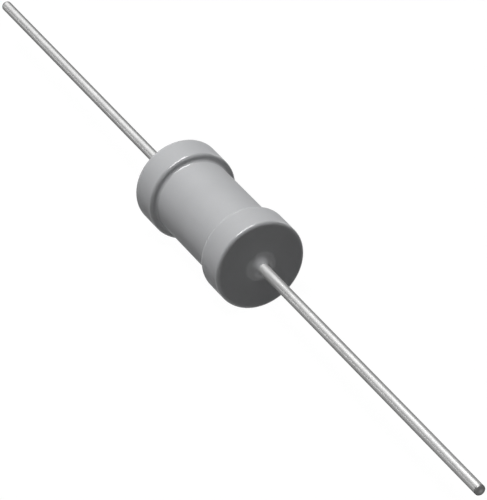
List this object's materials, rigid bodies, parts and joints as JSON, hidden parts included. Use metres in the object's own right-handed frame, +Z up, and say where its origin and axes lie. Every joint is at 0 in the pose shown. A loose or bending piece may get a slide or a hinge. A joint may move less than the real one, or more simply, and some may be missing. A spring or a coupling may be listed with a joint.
{
  "type": "axial power resistor",
  "caption": "Axial wirewound resistor with a grey dog-bone lacquer coat over a ceramic core and end caps, and a straight tinned lead from the middle of each end.",
  "frame": {"origin": "middle of the body, on its axis", "axes": "+X along the body and leads towards the right lead, +Z up, +Y completes the right-handed frame; the part is round about X apart from the winding inside"},
  "size_m": [0.0738, 0.007, 0.007],
  "materials": {
    "lacquer": "opaque satin grey flameproof lacquer",
    "tinned_wire": "tinned drawn wire",
    "cap_steel": "pressed and plated steel",
    "ceramic": "unglazed white ceramic",
    "resistance_alloy": "dull flat resistance wire"
  },
  "bodies": {
    "root": {"lacquer_coat": "lacquer", "left_lead": "tinned_wire", "right_lead": "tinned_wire", "left_end_cap": "cap_steel", "right_end_cap": "cap_steel", "ceramic_core": "ceramic", "resistance_wire": "resistance_alloy"}
  },
  "joints": []
}
